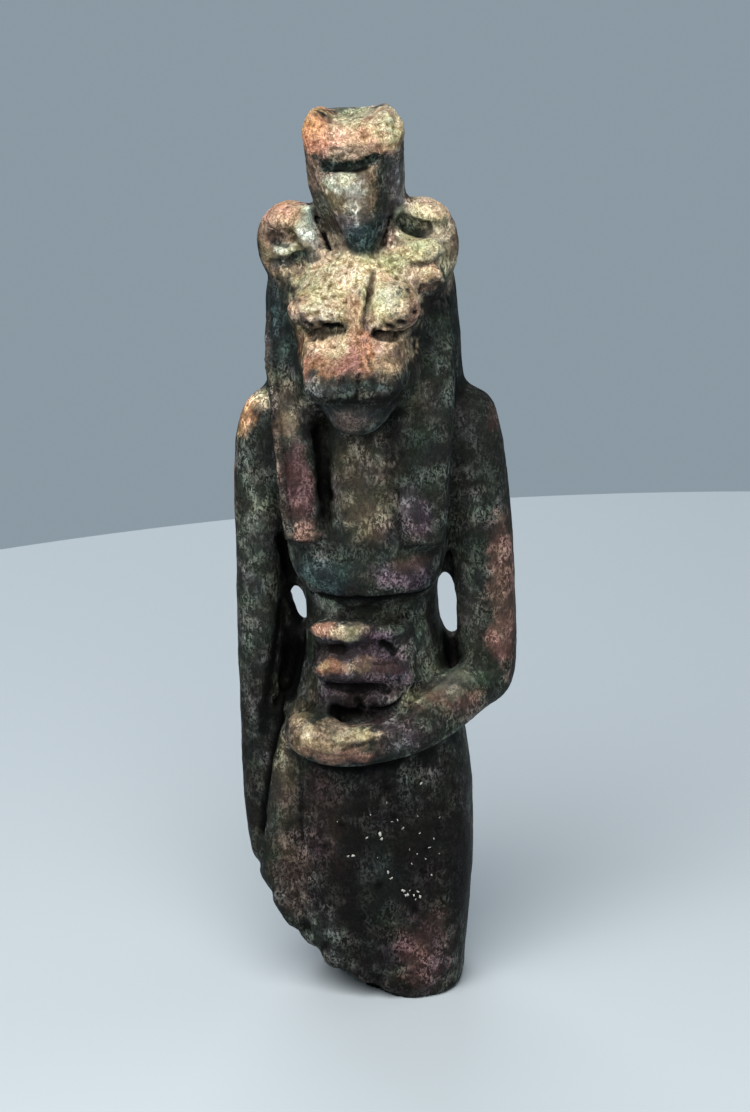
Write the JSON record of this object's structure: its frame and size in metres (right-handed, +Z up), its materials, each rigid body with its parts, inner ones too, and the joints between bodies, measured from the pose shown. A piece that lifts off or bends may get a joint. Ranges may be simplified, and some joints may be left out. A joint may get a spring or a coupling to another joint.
{
  "type": "feline goddess amulet",
  "caption": "Standing lioness-headed goddess amulet in worn dark glaze, broken above the knees, with a back pillar pierced for a cord.",
  "frame": {"origin": "on the worn flat of the break that the figure stands on, under the figure's own upright axis", "axes": "+Z up along the figure, -Y the way she faces, +X towards her left arm, the bent one"},
  "size_m": [0.0185, 0.016, 0.06],
  "materials": {
    "worn_glaze": "worn dark green-brown glaze with pale crust, satin"
  },
  "bodies": {
    "root": {"amulet_figure": "worn_glaze"}
  },
  "joints": []
}
